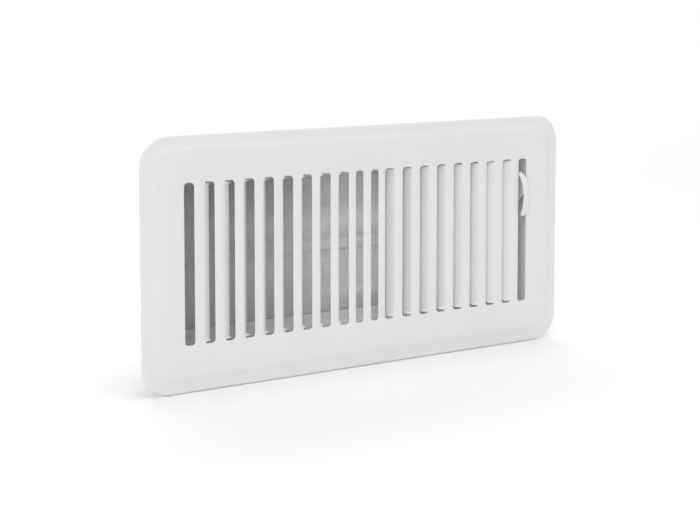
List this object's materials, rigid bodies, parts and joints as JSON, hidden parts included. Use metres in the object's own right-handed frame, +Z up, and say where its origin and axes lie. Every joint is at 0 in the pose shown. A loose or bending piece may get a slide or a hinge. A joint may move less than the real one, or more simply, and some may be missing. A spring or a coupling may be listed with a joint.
{
  "type": "louvred air register",
  "caption": "Rectangular stamped-steel wall or floor air register with curled vertical louvres, a shallow damper box, and two parallel blades worked by a thumb lever in the end slot.",
  "frame": {"origin": "centre of the plane that the face's rim rests on, at the middle of the opening", "axes": "+X along the face towards the lever, +Y back into the duct, +Z up; the face looks towards -Y"},
  "size_m": [0.2922, 0.051, 0.1396],
  "materials": {
    "white_enamel": "satin white powder coat",
    "galvanised_sheet": "galvanised, semi-gloss",
    "zinc_plated_steel": "bright zinc",
    "spring_steel": "bright",
    "white_nylon": "moulded"
  },
  "bodies": {
    "register_frame": {"face_plate": "white_enamel", "box_upper_wall": "white_enamel", "box_lower_wall": "white_enamel", "box_left_end_wall": "white_enamel", "box_right_end_wall": "white_enamel", "upper_blade_stop": "white_enamel", "lower_blade_stop": "white_enamel", "upper_blade_left_bush": "white_nylon", "upper_blade_right_bush": "white_nylon", "lower_blade_left_bush": "white_nylon", "lower_blade_right_bush": "white_nylon", "lever_rivet": "zinc_plated_steel", "lever_spring_washer": "spring_steel", "lever_spacer": "zinc_plated_steel"},
    "upper_blade": {"upper_damper_blade": "galvanised_sheet", "upper_blade_left_pin": "zinc_plated_steel", "upper_blade_right_pin": "zinc_plated_steel", "upper_blade_link_pin": "zinc_plated_steel"},
    "lower_blade": {"lower_damper_blade": "galvanised_sheet", "lower_blade_left_pin": "zinc_plated_steel", "lower_blade_right_pin": "zinc_plated_steel", "lower_blade_link_pin": "zinc_plated_steel"},
    "lever": {"damper_lever": "white_enamel", "lever_link_pin": "zinc_plated_steel"},
    "link": {"link_bar": "zinc_plated_steel"}
  },
  "joints": [
    {"name": "upper_blade_turn", "type": "hinge", "parent": "register_frame", "child": "upper_blade", "pos_m": [0, 0.025, 0.0215], "axis": [1, 0, 0], "range_deg": [0, 75]},
    {"name": "lower_blade_turn", "type": "hinge", "parent": "register_frame", "child": "lower_blade", "pos_m": [0, 0.025, -0.0215], "axis": [1, 0, 0], "range_deg": [0, 75]},
    {"name": "lever_turn", "type": "hinge", "parent": "register_frame", "child": "lever", "pos_m": [0.1181, 0.025, 0], "axis": [1, 0, 0], "range_deg": [0, 75]},
    {"name": "link_turn", "type": "hinge", "parent": "lever", "child": "link", "pos_m": [0.1163, 0.03373, -0.0067], "axis": [1, 0, 0], "range_deg": [-75, 0]}
  ],
  "couplings": [
    {"joint": "lower_blade_turn", "follows": "upper_blade_turn", "ratio": 1},
    {"joint": "lever_turn", "follows": "upper_blade_turn", "ratio": 1},
    {"joint": "link_turn", "follows": "upper_blade_turn", "ratio": -1}
  ]
}
